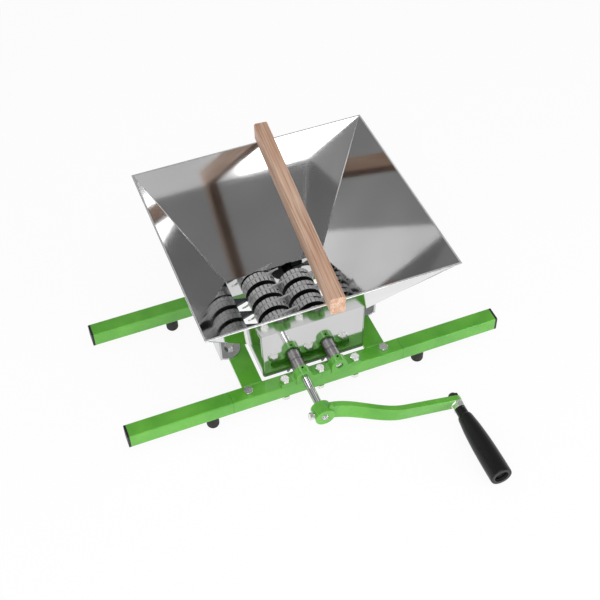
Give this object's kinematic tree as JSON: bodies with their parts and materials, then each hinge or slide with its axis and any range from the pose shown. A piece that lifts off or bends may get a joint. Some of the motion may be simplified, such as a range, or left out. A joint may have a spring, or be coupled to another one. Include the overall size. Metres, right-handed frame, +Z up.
{
  "type": "hand cranked fruit scratter",
  "caption": "Hand cranked fruit crusher: steel hopper over geared hooked rollers on a tube frame with arms that rest across a barrel.",
  "frame": {"origin": "middle of the bounding box, at the level of the feet", "axes": "+X along the tube frame, to the right seen from the crank side; -Y towards the crank and its grip; +Z up"},
  "size_m": [0.606, 0.5486, 0.3093],
  "materials": {
    "green_paint": "gloss powder coat",
    "bright_steel": "bright rolled stainless sheet",
    "roller_metal": "cast and turned",
    "cutter_steel": "bright plate",
    "shaft_steel": "drawn bar",
    "gear_steel": "oiled machined steel",
    "zinc_bolts": "zinc plated",
    "black_paint": "semi gloss black",
    "black_plastic": "moulded",
    "grip_plastic": "moulded, satin",
    "foot_rubber": "matt",
    "beech": "planed, unfinished"
  },
  "bodies": {
    "frame": {"front_tube": "green_paint", "rear_tube": "green_paint", "left_rail": "green_paint", "right_rail": "green_paint", "front_left_arm": "green_paint", "front_right_arm": "green_paint", "rear_left_arm": "green_paint", "rear_right_arm": "green_paint", "arm_end_caps": "black_plastic", "rubber_feet": "foot_rubber", "lock_bolts": "zinc_bolts", "lock_nuts": "zinc_bolts", "front_left_bearing": "green_paint", "front_right_bearing": "green_paint", "rear_left_bearing": "green_paint", "rear_right_bearing": "green_paint", "bearing_bolts": "zinc_bolts", "bearing_nuts": "zinc_bolts", "box_front_wall": "bright_steel", "box_back_wall": "bright_steel", "box_left_wall": "bright_steel", "box_right_wall": "bright_steel", "gear_partition": "bright_steel", "hopper_left_wall": "bright_steel", "hopper_right_wall": "bright_steel", "hopper_back_wall": "bright_steel", "hopper_front_wall": "bright_steel", "left_bracket": "bright_steel", "right_bracket": "bright_steel", "bracket_bolts": "zinc_bolts", "bracket_nuts": "zinc_bolts", "left_comb": "bright_steel", "right_comb": "bright_steel"},
    "drive_roller": {"drive_shaft": "shaft_steel", "drive_drums": "roller_metal", "drive_cutters": "cutter_steel", "drive_spacers": "shaft_steel", "drive_gear": "gear_steel", "crank_arm": "green_paint", "set_screw": "zinc_bolts", "handle_spindle": "shaft_steel", "spindle_nut": "zinc_bolts", "spindle_washers": "zinc_bolts", "dome_nut": "black_paint"},
    "idler_roller": {"idler_shaft": "shaft_steel", "idler_drums": "roller_metal", "idler_cutters": "cutter_steel", "idler_spacers": "shaft_steel", "idler_gear": "gear_steel"},
    "grip": {"grip": "grip_plastic", "grip_end_ring": "grip_plastic"},
    "pusher": {"pusher_bar": "beech"}
  },
  "joints": [
    {"name": "crank_spin", "type": "hinge", "parent": "frame", "child": "drive_roller", "pos_m": [-0.026, 0.09171, 0.0654], "axis": [0, 1, 0], "continuous": true},
    {"name": "idler_spin", "type": "hinge", "parent": "frame", "child": "idler_roller", "pos_m": [0.031, 0.09171, 0.0654], "axis": [0, 1, 0], "continuous": true},
    {"name": "grip_spin", "type": "hinge", "parent": "drive_roller", "child": "grip", "pos_m": [0.18039, -0.20919, 0.02153], "axis": [0, -1, 0], "continuous": true},
    {"name": "pusher_lift", "type": "slide", "parent": "frame", "child": "pusher", "axis": [0, 0, 1], "range_m": [0, 0.12]}
  ],
  "couplings": [
    {"joint": "idler_spin", "follows": "crank_spin", "ratio": -1}
  ]
}
